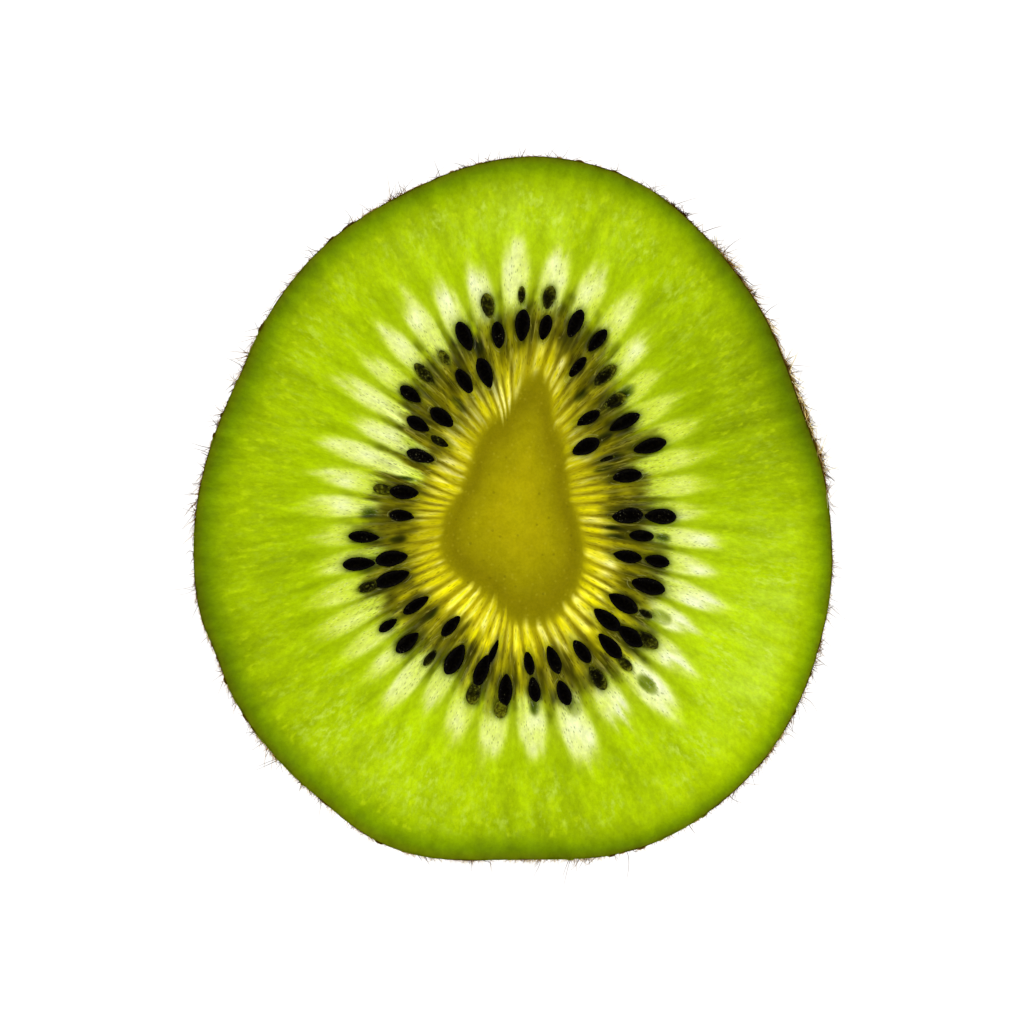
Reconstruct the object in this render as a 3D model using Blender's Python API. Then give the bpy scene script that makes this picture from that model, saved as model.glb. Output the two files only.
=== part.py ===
"""A kiwi slice, lying flat: one round cut across the fruit, 5 mm thick.

Three solids meet face to face and each runs right through the slice: the outer flesh with its skin
side, the ring of locules that holds the seeds, and the pale core. Metres, +Z up, resting on z = 0,
with the middle of the slice's box on the Z axis.

Every outline is drawn in fan coordinates, because the fruit's lines don't start from one point but
from a short upright line in the core. A point has a direction round the slice (degrees,
anticlockwise from +X) and a distance outward from that line.
"""

import math

import bpy
import numpy as np

# Driving sizes, in metres and degrees.
THICKNESS = 0.0050
FAN_HALF_LINE = 0.0047
FAN_REFERENCE = 0.0126  # the distance at which a direction is the true angle round the slice
GAP = 0.0003

# The cut edge of the skin: mean distance, waves (number of crests, height, direction of a crest)
# and dents (depth, direction, half width). The long waves give its egg shape, the short ones are
# the small flats and swellings of this one fruit.
SKIN_DISTANCE = 0.0243
SKIN_WAVES = (
    (1, 0.00130, -86), (2, 0.00055, 0), (3, 0.00050, -40), (4, 0.00010, -15),
    (5, 0.00015, -10), (6, 0.00015, 15), (8, 0.00010, -5),
)
SKIN_DENTS = ((-0.0020, 270, 14),)

# The side is the fruit's own curved surface: lower down it stands further out, most on one side.
FLARE = 0.00050
FLARE_DIRECTION = 20
FLARE_LEAST = 0.00010
SIDE_BULGE = 0.00010
SIDE_STEPS = 4

# The core is a blunt drop whose tip points up (+Y).
CORE_DISTANCE = 0.00465
CORE_WAVES = (
    (1, 0.00080, -72), (2, 0.00065, -3), (3, 0.00065, -47), (4, 0.00040, 34), (5, 0.00020, -16),
)
CORE_TIP = ((0.0031, 77, 13),)
CORE_CROWN = 0.00018

# The locules: thin cells side by side round the core. Each one's reach is its own.
LOCULE_REACH_MM = (
    15.3, 16.1, 15.7, 15.7, 14.8, 14.3, 15.7, 16.6, 16.9, 16.5,
    17.0, 15.5, 15.5, 16.3, 15.7, 15.3, 16.9, 14.0, 16.1, 15.9,
    17.3, 16.3, 16.3, 17.4, 18.1, 16.5, 15.7, 16.6, 14.0, 15.7,
    15.7, 15.1, 17.4, 16.3, 18.7, 17.4, 16.5, 17.9, 16.6, 16.9,
)
LOCULES = len(LOCULE_REACH_MM)
# How far, in degrees, the locules crowd away from even spacing.
CROWDING = -1.5
CROWDING_WAVES = ((1, 1.25, 61), (2, 1.0, -17), (3, 1.4, -40), (4, 0.9, 27))
TIP_MARGIN = 0.0005
NOTCH = 0.0016
BED_DEPTH = 0.00022
RIDGE_HEIGHT = 0.00006

STEPS_PER_LOCULE = 6
CORE_STEPS = 96
BED_ROWS = 6


def clear_scene():
    for old in list(bpy.data.objects):
        bpy.data.objects.remove(old, do_unlink=True)


def make_material(name, colour, roughness):
    material = bpy.data.materials.new(name)
    material.use_nodes = True
    shader = material.node_tree.nodes["Principled BSDF"]
    shader.inputs["Base Color"].default_value = (*colour, 1.0)
    shader.inputs["Roughness"].default_value = roughness
    shader.inputs["Metallic"].default_value = 0.0
    material.diffuse_color = (*colour, 1.0)
    return material


def from_direction(around, direction):
    """The angle between two directions, from -180 to 180 degrees."""
    return (around - direction + 180) % 360 - 180


def wavy(around, mean, waves, bumps=()):
    """mean, plus cosine waves round the slice, plus bell-shaped bumps (dents if negative)."""
    total = np.full(np.shape(around), float(mean))
    for crests, height, crest in waves:
        total += height * np.cos(np.radians(crests * (around - crest)))
    for height, direction, half_width in bumps:
        total += height * np.exp(-((from_direction(around, direction) / half_width) ** 2))
    return total


def skin_distance(around):
    return wavy(around, SKIN_DISTANCE, SKIN_WAVES, SKIN_DENTS)


def core_distance(around):
    return wavy(around, CORE_DISTANCE, CORE_WAVES, CORE_TIP)


def flare(around):
    """How much further out the side stands at the underside than at the cut face."""
    facing = np.clip(np.cos(np.radians(from_direction(around, FLARE_DIRECTION))), 0, 1)
    return FLARE_LEAST + FLARE * facing**3


def locule_number(around):
    """A whole number at the middle of each locule, and a half at each wall between two."""
    return (around - wavy(around, CROWDING, CROWDING_WAVES)) * LOCULES / 360


def in_locule(around):
    """1 along the middle of a locule, 0 at the walls beside it, smooth between."""
    return np.cos(np.pi * locule_number(around)) ** 2


def ring_edge(around):
    """Where the ring of locules meets the outer flesh: scallops that follow the locules' tips."""
    number = locule_number(around) % LOCULES
    reach = np.interp(number, range(LOCULES + 1), (*LOCULE_REACH_MM, LOCULE_REACH_MM[0])) / 1000
    return reach + TIP_MARGIN - NOTCH * (1 - in_locule(around))


def fan_points(around, distance, height):
    """Points of one closed ring, from fan coordinates: x = d cos t, y = (d + line) sin t.

    t is the true direction of the fan's ray, which leans away from upright near the core.
    """
    angle = np.radians(around)
    ray = np.arctan2(
        FAN_REFERENCE * np.sin(angle), (FAN_REFERENCE + FAN_HALF_LINE) * np.cos(angle)
    )
    x = distance * np.cos(ray)
    y = (distance + FAN_HALF_LINE) * np.sin(ray)
    return np.stack([x, y, np.broadcast_to(height, x.shape)], axis=1)


def box_middle():
    """The middle, seen from above, of the whole slice's box, which the skin's foot sets."""
    around = np.arange(0, 360, 0.5)
    foot = fan_points(around, skin_distance(around) + flare(around), 0.0)
    return (foot.min(axis=0) + foot.max(axis=0)) / 2


def bridge(first, second, count):
    """Four-sided faces between two rings of count points whose numbers start at first and second."""
    following = [(i + 1) % count for i in range(count)]
    return [(first + i, first + following[i], second + following[i], second + i) for i in range(count)]


def make_object(name, points, faces, material, collection):
    mesh = bpy.data.meshes.new(name)
    mesh.from_pydata((points - box_middle()).tolist(), [], faces)
    mesh.materials.append(material)
    mesh.shade_smooth()
    mesh.set_sharp_from_angle(angle=math.radians(40))
    solid = bpy.data.objects.new(name, mesh)
    collection.objects.link(solid)
    return solid


def loft_ring(name, sections, material, collection):
    """A ring-shaped solid through closed sections, the last joined back to the first.

    The sections run up the outer side, inward over the cut face, and down the inner side.
    """
    count = len(sections[0])
    total = len(sections) * count
    faces = []
    for start in range(0, total, count):
        faces += bridge(start, (start + count) % total, count)
    return make_object(name, np.concatenate(sections), faces, material, collection)


def loft_plug(name, sections, material, collection):
    """A solid through closed sections from the underside up, with a flat face on each end."""
    count = len(sections[0])
    last = (len(sections) - 1) * count
    faces = [tuple(reversed(range(count)))]
    for start in range(0, last, count):
        faces += bridge(start, start + count, count)
    faces.append(tuple(range(last, last + count)))
    return make_object(name, np.concatenate(sections), faces, material, collection)


def make_outer_flesh(material, collection):
    around = np.arange(0, 360, 360 / (LOCULES * STEPS_PER_LOCULE))
    inner = ring_edge(around) + GAP / 2
    sections = []
    for step in range(SIDE_STEPS + 1):
        up = step / SIDE_STEPS
        bulge = SIDE_BULGE * math.sin(math.pi * up)
        distance = skin_distance(around) + flare(around) * (1 - up) + bulge
        sections.append(fan_points(around, distance, THICKNESS * up))
    sections.append(fan_points(around, inner, THICKNESS))
    sections.append(fan_points(around, inner, 0.0))
    return loft_ring("outer_flesh", sections, material, collection)


def make_locule_ring(material, collection):
    around = np.arange(0, 360, 360 / (LOCULES * STEPS_PER_LOCULE))
    outer = ring_edge(around) - GAP / 2
    inner = core_distance(around) + GAP / 2
    sections = [fan_points(around, outer, 0.0)]
    for row in range(BED_ROWS + 1):
        inward = row / BED_ROWS
        hollow = math.sin(math.pi * inward) ** 0.5
        lie = RIDGE_HEIGHT - (BED_DEPTH + RIDGE_HEIGHT) * in_locule(around)
        height = THICKNESS + hollow * lie
        sections.append(fan_points(around, outer + (inner - outer) * inward, height))
    sections.append(fan_points(around, inner, 0.0))
    return loft_ring("locule_ring", sections, material, collection)


def make_core(material, collection):
    around = np.arange(0, 360, 360 / CORE_STEPS)
    outline = fan_points(around, core_distance(around) - GAP / 2, 0.0)
    middle = outline.mean(axis=0)
    sections = [outline]
    for share in (1.0, 0.9, 0.7, 0.4):
        section = middle + (outline - middle) * share
        section[:, 2] = THICKNESS + CORE_CROWN * (1 - share**2)
        sections.append(section)
    return loft_plug("core", sections, material, collection)


def main():
    clear_scene()
    collection = bpy.data.collections.new("kiwi_slice")
    bpy.context.scene.collection.children.link(collection)
    flesh = make_material("outer_flesh", (0.36, 0.58, 0.01), 0.35)
    locules = make_material("locule_ring", (0.66, 0.80, 0.16), 0.3)
    core = make_material("core", (0.42, 0.38, 0.01), 0.4)
    make_outer_flesh(flesh, collection)
    make_locule_ring(locules, collection)
    make_core(core, collection)


main()
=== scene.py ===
# %% [markdown]
# # A slice of green kiwi
#
# The plain model holds three flat solids: the outer flesh, the ring of seed cells and the core. This file
# dresses them. On the real slice nearly all that the eye sees is colour seen through wet, clear flesh with
# light shining through it, so most of the work is paint, and that light and the shade in the flesh are
# painted into its colours: a formula gives every point of a fine mesh its own colour, and small node
# textures add the grain. The seeds, the skin and its hairs are true shapes.

# %% Load the plain model
import copy
import math

import bpy
import numpy as np
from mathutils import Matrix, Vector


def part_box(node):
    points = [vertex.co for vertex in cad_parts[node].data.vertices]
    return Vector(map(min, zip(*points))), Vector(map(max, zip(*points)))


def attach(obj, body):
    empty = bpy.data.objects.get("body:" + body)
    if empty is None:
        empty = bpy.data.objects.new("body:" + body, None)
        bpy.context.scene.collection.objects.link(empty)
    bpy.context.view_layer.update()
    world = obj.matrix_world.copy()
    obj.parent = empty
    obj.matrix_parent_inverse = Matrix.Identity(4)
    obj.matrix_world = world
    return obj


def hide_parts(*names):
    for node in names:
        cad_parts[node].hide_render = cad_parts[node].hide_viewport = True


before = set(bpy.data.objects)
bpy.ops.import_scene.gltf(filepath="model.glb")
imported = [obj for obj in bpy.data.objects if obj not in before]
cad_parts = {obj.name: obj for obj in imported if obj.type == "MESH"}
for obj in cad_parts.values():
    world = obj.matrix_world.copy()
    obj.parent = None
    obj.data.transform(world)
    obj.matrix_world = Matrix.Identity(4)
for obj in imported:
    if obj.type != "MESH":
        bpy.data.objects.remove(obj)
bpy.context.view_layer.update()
slice_low, slice_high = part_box("outer_flesh")
THICKNESS = slice_high.z * 1000

# %% [markdown]
# ## Fan coordinates
#
# The lines in a kiwi don't run out from one point but from a short upright line in the core, like the ribs
# of a fan. So every shape and colour here is a function of two numbers: the direction round the slice in
# degrees, and the distance outward from that line in millimetres. The outlines are the plain model's own
# formulas, which are a mean distance plus a few waves and bell-shaped bumps.

# %% Outlines, in millimetres and degrees
FAN_HALF_LINE = 4.7
FAN_REFERENCE = 12.6  # the distance at which a direction is the true angle
SKIN_DISTANCE = 24.3
SKIN_WAVES = (
    (1, 1.30, -86), (2, 0.55, 0), (3, 0.50, -40), (4, 0.10, -15), (5, 0.15, -10), (6, 0.15, 15),
    (8, 0.10, -5),
)
SKIN_DENTS = ((-2.0, 270, 14),)
FOOT_FLARE_LEAST, FOOT_FLARE, FOOT_FLARE_DIRECTION = 0.10, 0.50, 20
TRIM, TRIM_BUMPS = 0.01, (
    (0.19, 356, 9), (0.08, 21, 7), (-0.14, 42, 9), (-0.07, 69, 5), (0.05, 81, 5), (0.04, 104, 9),
    (-0.07, 120, 5), (0.15, 139, 13), (0.10, 150, 5), (-0.05, 164, 7), (0.08, 186, 9), (0.27, 210, 6),
    (0.17, 241, 5), (-0.04, 270, 6), (-0.04, 318, 20),
)
SIDE_FLARE, SIDE_FLARE_BUMPS, SIDE_BULGE = 0.05, ((0.32, 20, 9), (0.12, 50, 10)), 0.02
CORE_DISTANCE = 4.65
CORE_WAVES = ((1, 0.80, -72), (2, 0.65, -3), (3, 0.65, -47), (4, 0.40, 34), (5, 0.20, -16))
CORE_TIP = ((3.1, 77, 13),)


def from_direction(around, direction):
    """The angle from a direction, from -180 to 180 degrees."""
    return (around - direction + 180) % 360 - 180


def bell(around, direction, half_width):
    """1 at a direction and falling on both sides: e to the minus square of angle over half width."""
    return np.exp(-((from_direction(around, direction) / half_width) ** 2))


def wavy(around, mean, waves=(), bumps=()):
    """mean plus cosine waves (crests, height, direction of one) plus bells (height, direction, width)."""
    total = np.full(np.shape(around), float(mean))
    for crests, height, crest in waves:
        total += height * np.cos(np.radians(crests * (around - crest)))
    for height, direction, half_width in bumps:
        total += height * bell(around, direction, half_width)
    return total


def skin_distance(around):
    return wavy(around, SKIN_DISTANCE, SKIN_WAVES, SKIN_DENTS)


def core_distance(around):
    return wavy(around, CORE_DISTANCE, CORE_WAVES, CORE_TIP)


def foot_distance(around):
    """The plain model's foot, which sets its box: the outline plus a flare, most on one side."""
    facing = np.clip(np.cos(np.radians(from_direction(around, FOOT_FLARE_DIRECTION))), 0, 1)
    return skin_distance(around) + FOOT_FLARE_LEAST + FOOT_FLARE * facing**3


def cut_edge(around):
    """The skin's own outline at the cut face: a tenth or two of a millimetre is left for the fuzz."""
    return skin_distance(around) - wavy(around, TRIM, (), TRIM_BUMPS)


def side_distance(around, up):
    """The side's outside, further out lower down: up is 0 at the underside and 1 at the cut face."""
    flare = wavy(around, SIDE_FLARE, (), SIDE_FLARE_BUMPS)
    return cut_edge(around) + flare * (1 - up) + SIDE_BULGE * np.sin(np.pi * up)


def ray_angle(around):
    """The true angle of a fan ray, in radians."""
    angle = np.radians(around)
    return np.arctan2(FAN_REFERENCE * np.sin(angle), (FAN_REFERENCE + FAN_HALF_LINE) * np.cos(angle))


def fan_xy(around, distance):
    """x = distance cos t and y = (distance + half line) sin t, moved to the middle of the CAD box."""
    ray = ray_angle(around)
    x = distance * np.cos(ray) + fan_middle[0]
    y = (distance + FAN_HALF_LINE) * np.sin(ray) + fan_middle[1]
    return x, y


fan_middle = (0.0, 0.0)
half_degrees = np.arange(0, 360, 0.5)
foot = np.stack(fan_xy(half_degrees, foot_distance(half_degrees)))
foot_middle = (foot.min(axis=1) + foot.max(axis=1)) / 2
box_middle = np.array([(slice_low[k] + slice_high[k]) * 500 for k in (0, 1)])
fan_middle = tuple(box_middle - foot_middle)
print("fan middle, mm:", [round(float(v), 3) for v in fan_middle])

# %% [markdown]
# ## The seed cells
#
# Forty thin cells (locules) stand side by side round the core, each with its own reach. A cell number
# counts round the slice: a whole number is the middle of a cell and a half is the wall between two. On the
# left the cells lean, so their inner ends are turned on round the core.

# %% Cell numbers
REACH = np.array((
    15.3, 16.1, 15.7, 15.7, 14.8, 14.3, 15.7, 16.6, 16.9, 16.5, 17.0, 15.5, 15.5, 16.3, 15.7, 15.3, 16.9,
    14.0, 16.1, 15.9, 17.3, 16.3, 16.3, 17.4, 18.1, 16.5, 15.7, 16.6, 14.0, 15.7, 15.7, 15.1, 17.4, 16.3,
    18.7, 17.4, 16.5, 17.9, 16.6, 16.9,
))
CELLS = len(REACH)
CROWDING = -1.5
CROWDING_WAVES = ((1, 1.25, 61), (2, 1.0, -17), (3, 1.4, -40), (4, 0.9, 27))
LEAN, LEAN_DIRECTION, LEAN_WIDTH = 11, 168, 17
LEAN_FROM, LEAN_TO = 16.0, 4.7
TIP_MARGIN, NOTCH = 0.5, 1.6


def cell_number(around):
    return (around - wavy(around, CROWDING, CROWDING_WAVES)) * CELLS / 360


def turned(around, distance):
    """The direction after taking off the lean, which grows inward as a power of the distance."""
    inward = np.clip((LEAN_FROM - distance) / (LEAN_FROM - LEAN_TO), 0, 1) ** 2.2
    return around - LEAN * inward * bell(around, LEAN_DIRECTION, LEAN_WIDTH)


def reach_between(number):
    """The reach, blended from cell to cell."""
    return np.interp(number % CELLS, range(CELLS + 1), (*REACH, REACH[0]))


def ring_edge(around):
    """Where the ring of cells meets the outer flesh: scallops that follow the cells' tips."""
    number = cell_number(around)
    return reach_between(number) + TIP_MARGIN - NOTCH * np.sin(np.pi * number) ** 2


print("cells:", CELLS, "mean reach, mm:", round(float(REACH.mean()), 1))

# %% [markdown]
# ## Seeds
#
# Seeds are laid out before the flesh, because each one sits in a small pocket and darkens the clear flesh
# round it. A row is a direction, a distance, a length, a width and a lean off the ray. Bare seeds lie in
# the cut face, veiled ones just under a film of flesh, and deep ones only show as soft dark spots.

# %% Where the seeds are
BARE_SEEDS = (
    (14.6, 8.9, 2.6, 1.15, -3), (24.0, 11.2, 2.7, 1.25, -3), (36.0, 9.8, 2.7, 1.05, 0),
    (34.2, 6.3, 2.4, 1.4, 0), (45.6, 7.1, 2.3, 1.05, -8), (63.0, 11.4, 2.2, 1.0, -4),
    (63.5, 8.6, 2.4, 0.85, -6), (71.2, 11.3, 2.5, 1.15, 0), (79.6, 9.9, 2.2, 1.05, 0),
    (87.2, 9.7, 2.6, 1.3, 0), (95.8, 9.0, 2.3, 1.1, 0), (107.2, 10.0, 2.5, 1.25, 0),
    (105.0, 6.7, 2.6, 1.3, 0), (115.2, 7.1, 2.4, 1.15, 0), (134.0, 10.2, 2.0, 1.05, 0),
    (133.8, 7.0, 2.5, 1.3, 0), (142.0, 8.7, 2.0, 1.1, 0), (154.4, 7.8, 2.3, 1.1, 2),
    (172.5, 8.6, 2.5, 1.2, 0), (183.2, 8.8, 2.1, 1.0, -6), (190.6, 11.9, 2.5, 1.0, -12),
    (199.6, 12.6, 2.6, 1.15, -11), (200.8, 10.0, 2.6, 1.35, -6), (208.4, 10.3, 2.9, 1.3, -2),
    (222.3, 11.9, 1.7, 0.8, 0), (221.8, 9.2, 2.4, 0.95, 0), (230.5, 11.2, 2.3, 1.15, 0),
    (237.5, 7.6, 2.2, 1.0, 0), (246.5, 9.1, 2.7, 1.4, 0), (257.3, 8.6, 2.6, 1.2, -4),
    (260.2, 6.75, 2.3, 0.6, -12), (267.0, 9.6, 2.6, 1.2, 0), (276.8, 9.7, 2.0, 1.0, 0),
    (276.5, 7.5, 2.1, 0.9, 0), (285.7, 10.8, 2.1, 1.15, 0), (286.7, 8.2, 2.5, 1.1, 0),
    (297.6, 9.0, 2.4, 1.1, 0), (306.2, 10.6, 2.6, 1.2, -2), (313.0, 11.6, 2.4, 1.35, 0),
    (312.5, 9.3, 2.6, 1.35, 0), (321.0, 9.9, 2.7, 1.35, 0), (330.6, 11.3, 2.9, 1.35, 8),
    (338.8, 9.1, 2.6, 1.05, 8), (340.3, 11.6, 2.0, 1.05, 3), (348.6, 10.0, 2.2, 0.95, 5),
    (357.0, 11.5, 2.5, 1.35, 0), (356.6, 8.8, 2.7, 1.3, 8),
)
VEILED_SEEDS = (
    (44.8, 9.7, 2.0, 1.1, -8), (54.0, 10.0, 2.5, 1.05, -4), (80.6, 12.3, 1.9, 1.05, 0),
    (88.0, 12.1, 1.4, 0.6, 0), (97.6, 11.5, 2.0, 1.1, 0), (116.5, 9.6, 1.5, 0.7, 0),
    (125.4, 10.1, 2.2, 0.9, 0), (144.0, 6.7, 2.1, 0.95, 0), (207.9, 12.3, 1.7, 0.85, 0),
    (239.2, 10.4, 1.7, 0.65, 0), (257.0, 10.5, 1.9, 1.2, 0), (296.8, 11.5, 2.2, 1.1, 0),
    (305.6, 12.4, 1.5, 0.8, 0), (315.2, 12.9, 2.1, 1.15, 0), (321.7, 11.9, 1.2, 0.6, 0),
    (172.0, 10.4, 1.5, 0.85, 0), (24.6, 7.6, 1.7, 0.55, 0), (266.0, 11.1, 1.5, 1.1, 0),
)
DEEP_SEEDS = (
    (20.5, 7.3, 1.8, 0.5, 0), (34.4, 8.0, 1.3, 0.6, 0), (55.4, 7.6, 1.5, 0.8, 0), (104.4, 8.8, 1.6, 0.9, 0),
    (124.0, 6.5, 1.7, 0.8, 0), (346.5, 8.0, 1.8, 0.5, 0), (350.5, 7.9, 1.8, 0.45, 0),
    (193.5, 9.3, 1.5, 0.6, 0), (228.0, 8.6, 2.0, 0.8, 0), (45.0, 10.9, 1.6, 1.0, 0),
    (181.5, 11.4, 1.5, 1.0, 0), (276.0, 11.1, 1.4, 0.9, 0), (349.0, 11.8, 1.3, 0.8, 0),
    (24.0, 8.4, 1.6, 0.6, 0), (166.0, 8.6, 1.8, 0.35, 0),
)
GHOST_SEEDS = ((306.0, 14.8, 2.1, 1.05, 0), (323.2, 13.1, 1.9, 1.1, 0), (286.8, 12.2, 1.5, 1.2, 0))


def seed_frames(seeds):
    """Each seed's middle, the angle of its long axis in radians, and its half length and half width."""
    direction, distance, length, width, lean = np.array(seeds, float).T
    x, y = fan_xy(direction, distance)
    return np.stack([x, y, ray_angle(direction) + np.radians(lean), length / 2, width / 2], axis=1)


def seed_radii(x, y, seeds):
    """For each seed, how far points are from its middle, where 1 is the seed's own oval outline."""
    for middle_x, middle_y, axis, half_length, half_width in seed_frames(seeds):
        along = (x - middle_x) * math.cos(axis) + (y - middle_y) * math.sin(axis)
        across = (y - middle_y) * math.cos(axis) - (x - middle_x) * math.sin(axis)
        yield np.hypot(along / half_length, across / half_width)


print("bare, veiled, deep and pale seeds:", *map(len, (BARE_SEEDS, VEILED_SEEDS, DEEP_SEEDS, GHOST_SEEDS)))

# %% [markdown]
# ## Uneven growth
#
# Nothing in fruit repeats. Streaks and patches come from value noise: random numbers stand on a net round
# the slice, and every point takes a smooth blend of the four numbers round it. The net closes on itself, so
# there is no seam, and its meshes are long along the ray, as the fruit's fibres are.

# %% Noise and small helpers
def smooth(value, start, end):
    """0 before start, 1 after end, and an S-shaped rise between."""
    share = np.clip((value - start) / (end - start), 0, 1)
    return share * share * (3 - 2 * share)


def patches(around, distance, count, length, seed):
    """Smooth random values from -1 to 1, with count meshes round the slice, each length mm long."""
    rows = int(30 / length) + 3
    net = np.random.default_rng(seed).uniform(-1, 1, (rows, count))
    across = (around % 360) * count / 360
    along = np.clip(distance / length, 0, rows - 1.001)
    column, row = np.floor(across).astype(int) % count, np.floor(along).astype(int)
    right = (column + 1) % count
    side_share, up_share = smooth(across - np.floor(across), 0, 1), smooth(along - row, 0, 1)
    lower = net[row, column] * (1 - side_share) + net[row, right] * side_share
    upper = net[row + 1, column] * (1 - side_share) + net[row + 1, right] * side_share
    return lower * (1 - up_share) + upper * up_share


def uneven(around, distance, layers):
    """Noise layers added up, each given as (height, meshes round the slice, mesh length in mm, seed)."""
    return sum(height * patches(around, distance, *net) for height, *net in layers)


def varied(around, distance, mean, bumps, layers):
    """A mean, plus bells by direction, plus noise layers."""
    return wavy(around, mean, (), bumps) + uneven(around, distance, layers)


def rgb(red, green, blue):
    """A display colour, out of 255, as shares of 1."""
    return np.array([red, green, blue]) / 255


def mix(first, second, share):
    """A blend of two colours or colour fields: share 0 is the first and 1 the second."""
    share = np.asarray(share)[..., None]
    return np.asarray(first) * (1 - share) + np.asarray(second) * share


def ramp(value, stops):
    """The colour at a value, from stops of (value, (red, green, blue) out of 255)."""
    places = [stop[0] for stop in stops]
    colours = np.array([stop[1] for stop in stops]) / 255
    return np.stack([np.interp(value, places, channel) for channel in colours.T], axis=-1)


def linear(display):
    """The light values that the renderer works in, from display colours."""
    display = np.clip(display, 0, 1)
    return np.where(display <= 0.04045, display / 12.92, ((display + 0.055) / 1.055) ** 2.4)


# %% [markdown]
# ## The colours of the cut face
#
# A painter would lay this face down in layers, and so does this formula. First comes the outer flesh with
# its darker rim, which is painted shade by the skin. Colours are display values, and they turn into light
# values only at the end.

# %% Paint: flesh and rim
# Painted shade: the green darkens toward the skin, which holds back the light through the flesh.
SHADED_RIM = (
    (0.0, (90, 98, 2)), (0.2, (96, 111, 1)), (0.7, (107, 135, 0)), (1.3, (130, 159, 0)),
    (1.9, (148, 176, 0)), (3.0, (163, 191, 1)), (4.5, (169, 198, 2)), (7.0, (167, 197, 0)),
)
RIM_DEPTH = 1.0, (
    (0.12, 28, 20), (0.22, 193, 26), (-0.40, 316, 34), (-0.26, 62, 20), (0.34, 258, 22), (-0.15, 0, 14),
    (0.16, 150, 14),
), ((0.12, 60, 6.0, 11),)
FLESH_LIGHT = 1.0, (
    (-0.135, 28, 26), (0.08, 322, 26), (0.045, 248, 22), (-0.06, 196, 28), (0.01, 88, 24), (-0.02, 130, 20),
    (-0.03, 282, 10),
), ((0.045, 130, 3.2, 12), (0.045, 260, 1.8, 13), (0.03, 420, 1.0, 14))
MILKY = rgb(206, 236, 118)
MILKY_BUMPS = ((0.28, 332, 22), (0.12, 86, 22), (0.06, 242, 12))
MILKY_NOISE = ((0.9, 70, 4.5, 15), (0.6, 240, 2.5, 16))


def outer_paint(around, distance):
    """Green darkened toward the skin by painted shade, brighter and darker by direction, with long streaks.
    """
    inside = cut_edge(around) - distance
    colour = ramp(np.clip(inside, 0, None) / varied(around, distance, *RIM_DEPTH), SHADED_RIM)
    colour = colour * varied(around, distance, *FLESH_LIGHT)[..., None]
    milky = wavy(around, 0.0, (), MILKY_BUMPS) * (1 + uneven(around, distance, MILKY_NOISE))
    milky *= smooth(inside, 1.5, 3.5) * (1 - 0.55 * smooth(inside, 5.0, 7.5))
    return mix(colour, MILKY, np.clip(milky, 0, 0.5))


print("green from the skin inward:", [stop[1] for stop in SHADED_RIM[::3]])

# %% [markdown]
# Next come the cells. Each is a long drop of pale pulp with a pointed tip, between green walls. Round the
# seeds the flesh is clear and shows the dark inside, and this shade of the seeds is painted in: there a
# cell has a dark belt colour and turns pale only further out, and the walls are darker too. The colours
# along a wall and a belt depend on the share of the way from the core to the tip.

# %% Paint: cells and walls
# The walls' darker middle, among the seeds, is painted shade of the seeds.
WALL = (
    (0.00, (172, 163, 2)), (0.12, (178, 168, 4)), (0.20, (150, 142, 2)), (0.30, (96, 90, 0)),
    (0.42, (92, 90, 0)), (0.52, (98, 104, 2)), (0.60, (132, 148, 6)), (0.70, (162, 184, 18)),
    (0.80, (168, 193, 14)), (0.95, (165, 192, 4)),
)
# The belt's dark colours are painted shade of the seeds in and under the clear flesh.
BELT = (
    (0.12, (188, 178, 8)), (0.22, (158, 150, 6)), (0.30, (124, 118, 4)), (0.42, (116, 112, 6)),
    (0.55, (124, 128, 14)), (0.75, (150, 165, 36)),
)
BELT_LIGHT = {
    0: 0.75, 2: 0.6, 4: 0.7, 5: 0.85, 8: 0.65, 19: 1.2, 21: 0.85, 25: 1.35, 28: 1.45, 29: 1.45, 30: 1.1,
    31: 1.25, 32: 1.15, 34: 1.6, 35: 1.5, 36: 1.15, 39: 0.65,
}
# PULP_WHITE is partly the pulp's own pale colour and partly painted light shining through the clear pulp.
THREAD, PULP_GREEN, PULP_WHITE = rgb(212, 204, 84), rgb(211, 230, 66), rgb(248, 255, 194)
WHITENESS = 0.62, (
    (-0.65, 24, 22), (0.42, 312, 32), (-0.50, 199, 18), (0.22, 98, 12),
), ((0.34, 110, 1.5, 22), (0.10, 500, 1.0, 24))
CELL_WIDTHS = (
    (0.0, 0.26), (0.25, 0.30), (0.50, 0.34), (0.72, 0.37), (0.82, 0.32), (0.92, 0.23), (1.02, 0.11),
    (1.14, 0.0),
)
EDGE_SOFTNESS, TIP_SOFTNESS = 0.09, 0.10
FEATHER_NOISE = ((0.07, 110, 2.5, 21), (0.08, 380, 1.6, 23))
FIBRE_NOISE = ((0.16, 400, 2.0, 26), (0.28, 130, 1.1, 28), (0.14, 300, 0.5, 29))
PALE_FROM_LEAST = 10.2
OWN_PALE_FROM = {
    0: 11.4, 1: 10.9, 5: 10.6, 8: 12.0, 9: 11.9, 10: 11.3, 11: 11.0, 12: 10.6, 17: 8.0, 18: 7.4, 20: 11.2,
    22: 11.0, 24: 12.2, 25: 12.0, 27: 10.8,
}


def cell_pale_from():
    """Where each cell's pulp turns pale, in mm: its own value, or the far end of its outermost seed."""
    pale_from = np.full(CELLS, PALE_FROM_LEAST)
    direction, distance, length, _, _ = np.array(BARE_SEEDS + VEILED_SEEDS, float).T
    cells = np.rint(cell_number(turned(direction, distance))).astype(int) % CELLS
    np.maximum.at(pale_from, cells, distance + length / 2)
    for cell, start in OWN_PALE_FROM.items():
        pale_from[cell] = start
    return pale_from


PALE_FROM = cell_pale_from()
OWN_LIGHT = np.array([BELT_LIGHT.get(cell, 1.0) for cell in range(CELLS)])
print("pale pulp starts at, mm:", PALE_FROM.round(1).tolist())


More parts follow.
